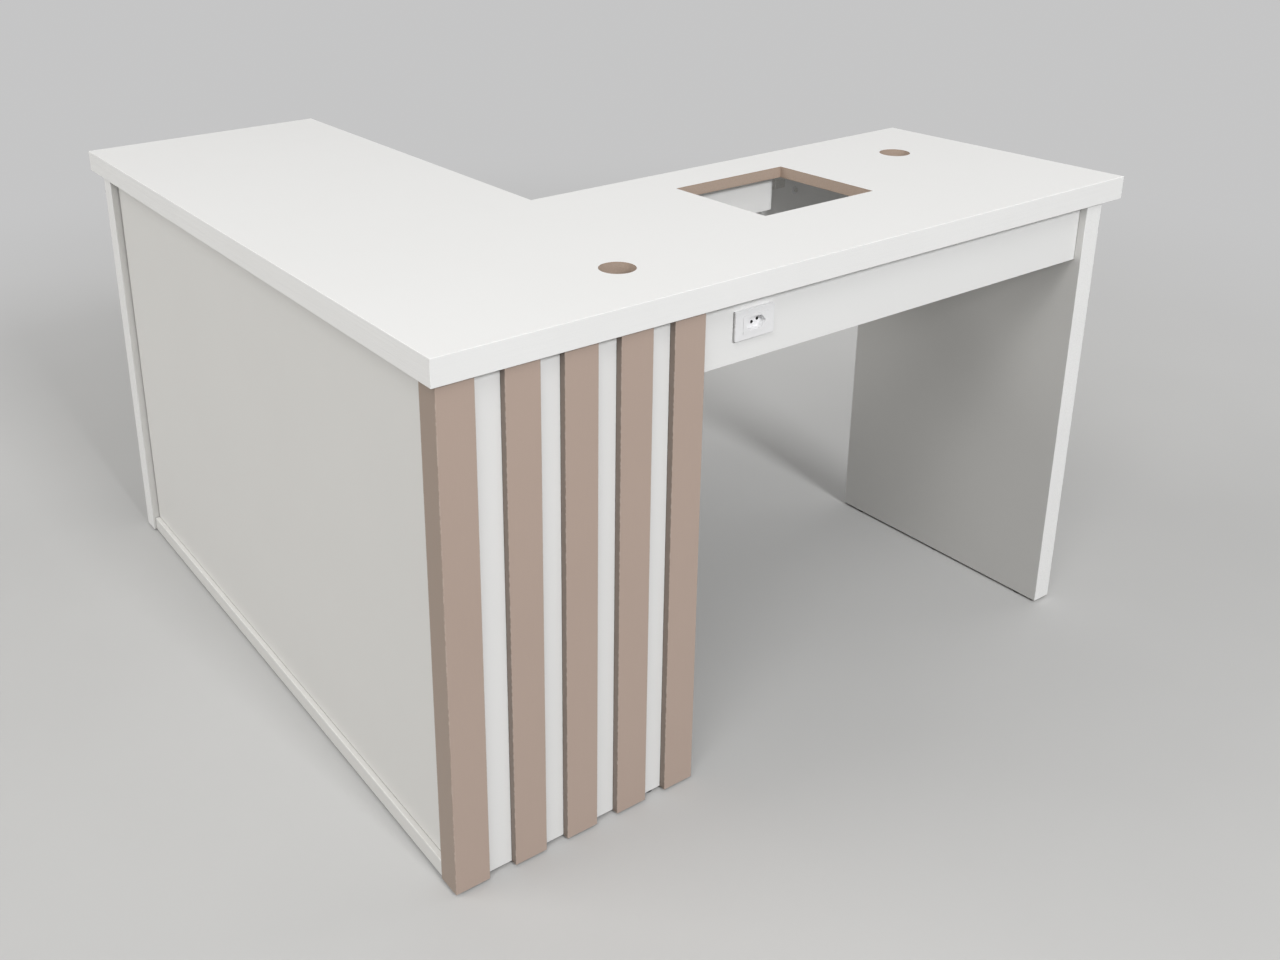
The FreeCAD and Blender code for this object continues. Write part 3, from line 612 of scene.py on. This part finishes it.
beech = {
    "light": (0.64, 0.46, 0.29),
    "dark": (0.47, 0.31, 0.18),
    "rings": (420.0, 4.0, 0.6),
    "ringShare": 0.7,
    "ringBump": 0.5,
    "pores": (2100.0, 2.0, 0.7),
    "poreShare": 0.3,
    "poreRough": 0.2,
    "toneFrom": 0.3,
    "toneTo": 0.7,
    "roughness": 0.72,
    "depth": 0.12 * mm,
    "bumpStrength": 0.5,
}


def beechFinish():
    finish = Finish("beechDowel")
    rings = finish.noise(*beech["rings"])
    pores = finish.noise(*beech["pores"])
    tone = rings * beech["ringShare"] + pores * beech["poreShare"]
    colour = finish.mix(tone.fitted(beech["toneFrom"], beech["toneTo"]), beech["dark"], beech["light"])
    rough = beech["roughness"] + pores.swing(beech["poreRough"])
    bump = finish.bump(pores + rings * beech["ringBump"], beech["depth"], beech["bumpStrength"])
    return finish.surface({"Base Color": colour, "Roughness": rough, "Normal": bump})


fittings = {
    "angle_brackets": metalFinish("zincPlateBracket", zincPlate),
    "cam_bolts": metalFinish("zincPlateBolt", zincPlate),
    "bracket_screws": metalFinish("zincPlateScrew", zincPlate),
    "cam_housings": metalFinish("zincCastCam", zincCast),
    "socket_contacts": metalFinish("brassContact", brass, holed=True),
    "socket_bezel": mouldedFinish("whitePlasticBezel", whitePlastic, seat=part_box("apron")[0][1]),
    "socket_insert": mouldedFinish("whitePlasticInsert", whitePlastic, holed=True),
    "glides": mouldedFinish("greyPlasticGlide", greyPlastic),
    "socket_cable_grommet": mouldedFinish("blackRubberGrommet", blackRubber),
    "dowels": beechFinish(),
}
sameAs = {
    "slat_screws": "bracket_screws",
    "batten_screws": "bracket_screws",
    "stop_screw": "bracket_screws",
    "socket_cap_screws": "bracket_screws",
    "socket_terminal_screws": "bracket_screws",
    "socket_terminals": "socket_contacts",
    "socket_clips": "socket_bezel",
    "stop_screw_collar": "socket_bezel",
    "socket_back_cap": "glides",
}
for node, material in fittings.items():
    dress(node, material)
for node, like in sameAs.items():
    dress(node, fittings[like])
print("fittings finished:", len(fittings) + len(sameAs))


# Studio: pale floor, pale surround, five lamps

studio = {
    "surround": (0.56, 0.56, 0.562),
    "ambient": 0.34,
    "ambientTint": (1.0, 0.99, 0.97),
}
floorPaint = {
    "size": 60.0,
    "colour": (0.535, 0.535, 0.532),
    "shade": (0.515, 0.515, 0.512),
    "bounced": (0.16, 0.16, 0.158),
    "cloud": (1.3, 3.0),
    "toneFrom": 0.3,
    "toneTo": 0.7,
    "grit": (380.0, 2.0),
    "roughness": 0.75,
    "gritRough": 0.1,
    "gritDepth": 0.2 * mm,
    "gritStrength": 0.15,
    "fadeFrom": 1.0,
    "fadeTo": 3.2,
}
lamps = {  # "from" points from the desk to the lamp
    "frontLamp": {
        "from": (-0.02, -0.425, 0.265), "distance": 9.0, "size": 1.5,
        "watts": 401.0, "tint": (0.99, 0.995, 1.0),
    },
    "shoulderLamp": {
        "from": (-0.12, -0.1, 0.18), "distance": 9.0, "size": 3.6,
        "watts": 191.0, "tint": (1.0, 0.995, 0.985),
    },
    "sideLamp": {
        "from": (-0.31, 0.12, 0.17), "distance": 9.0, "size": 5.0,
        "watts": 298.0, "tint": (1.0, 0.985, 0.955),
    },
    "lowLamp": {
        "from": (-0.06, -0.035, 0.02), "distance": 9.0, "size": 5.0,
        "watts": 58.0, "tint": (1.0, 0.99, 0.97),
    },
    "endLamp": {
        "from": (0.17, -0.02, 0.07), "distance": 7.0, "size": 5.0,
        "watts": 90.0, "tint": (1.0, 0.99, 0.97),
    },
}


def ray(finish, kind):
    return finish.take("ShaderNodeLightPath", {}, {}, kind)


def floorFinish():
    # pale to the eye, little light thrown back, and fading into the surround
    finish = Finish("floorPaint")
    cloud = finish.noise(*floorPaint["cloud"]).fitted(floorPaint["toneFrom"], floorPaint["toneTo"])
    grit = finish.noise(*floorPaint["grit"])
    shown = finish.mix(cloud, floorPaint["colour"], floorPaint["shade"])
    seen = ray(finish, "Is Camera Ray")
    colour = finish.mix(seen.most(ray(finish, "Is Glossy Ray")), floorPaint["bounced"], shown)
    values = {
        "Base Color": colour,
        "Roughness": floorPaint["roughness"] + grit.swing(floorPaint["gritRough"]),
        "Normal": finish.bump(grit, floorPaint["gritDepth"], floorPaint["gritStrength"]),
    }
    paint = finish.take("ShaderNodeBsdfPrincipled", {}, values)
    values = {"Color": (*studio["surround"], 1.0), "Strength": 1.0}
    glow = finish.take("ShaderNodeEmission", {}, values)
    x, y, _ = finish.parts(finish.place())
    far = ((x * x + y * y) ** 0.5).fitted(floorPaint["fadeFrom"], floorPaint["fadeTo"])
    mixed = finish.take("ShaderNodeMixShader", {}, [far * seen, paint, glow])
    finish.add("ShaderNodeOutputMaterial", {}, {"Surface": mixed})
    return finish.material


def makeFloor():
    half = floorPaint["size"] / 2
    mesh = bpy.data.meshes.new("floor")
    corners = [(-half, -half, 0), (half, -half, 0), (half, half, 0), (-half, half, 0)]
    mesh.from_pydata(corners, [], [(0, 1, 2, 3)])
    mesh.materials.append(floorFinish())
    floor = bpy.data.objects.new("floor", mesh)
    bpy.context.scene.collection.objects.link(floor)


def makeSurround():
    world = bpy.data.worlds.new("surround")
    bpy.context.scene.world = world
    finish = Finish("surround", world)
    seen = ray(finish, "Is Camera Ray")
    seen = seen.most(ray(finish, "Is Glossy Ray")).most(ray(finish, "Is Transmission Ray"))
    backgrounds = []
    for tint, strength in ((studio["ambientTint"], studio["ambient"]), (studio["surround"], 1.0)):
        values = {"Color": (*tint, 1.0), "Strength": strength}
        backgrounds.append(finish.take("ShaderNodeBackground", {}, values))
    mixed = finish.take("ShaderNodeMixShader", {}, [seen, *backgrounds])
    finish.add("ShaderNodeOutputWorld", {}, {"Surface": mixed})


def makeLamp(name, look):
    data = bpy.data.lights.new(name, "AREA")
    data.shape = "SQUARE"
    data.size = look["size"]
    data.energy = look["watts"]
    data.color = look["tint"]
    lamp = bpy.data.objects.new(name, data)
    bpy.context.scene.collection.objects.link(lamp)
    way = Vector(look["from"]).normalized()
    middle = (cadLow + cadHigh) / 2
    lamp.location = middle + way * look["distance"]
    lamp.rotation_euler = way.to_track_quat("Z", "Y").to_euler()


makeFloor()
makeSurround()
for name, look in lamps.items():
    makeLamp(name, look)
print("studio ready")


# Camera at the photograph's viewing angle: metres, degrees, and millimetres for the lens

cameraView = {
    "place": (-1.2646, -1.7476, 1.2815),
    "heading": 57.722,
    "dip": 19.860,
    "roll": -1.562,
    "sensor": 36.0,
    "lens": 36.456,
    "shiftX": 0.1182,
    "shiftY": -0.1400,
}


def makeCamera():
    data = bpy.data.cameras.new("deskCamera")
    data.sensor_width = cameraView["sensor"]
    data.lens = cameraView["lens"]
    data.shift_x = cameraView["shiftX"]
    data.shift_y = cameraView["shiftY"]
    heading, dip, roll = (math.radians(cameraView[key]) for key in ("heading", "dip", "roll"))
    ahead = Vector((math.cos(dip) * math.cos(heading), math.cos(dip) * math.sin(heading), -math.sin(dip)))
    level = ahead.cross(ways["z"]).normalized()
    rise = level.cross(ahead)
    right = math.cos(roll) * level + math.sin(roll) * rise
    up = -math.sin(roll) * level + math.cos(roll) * rise
    turn = Matrix((right, up, -ahead)).transposed()
    camera = bpy.data.objects.new("deskCamera", data)
    camera.matrix_world = Matrix.Translation(cameraView["place"]) @ turn.to_4x4()
    bpy.context.scene.collection.objects.link(camera)
    bpy.context.scene.camera = camera


makeCamera()
bpy.context.scene.view_settings.view_transform = "Standard"
print("camera placed")
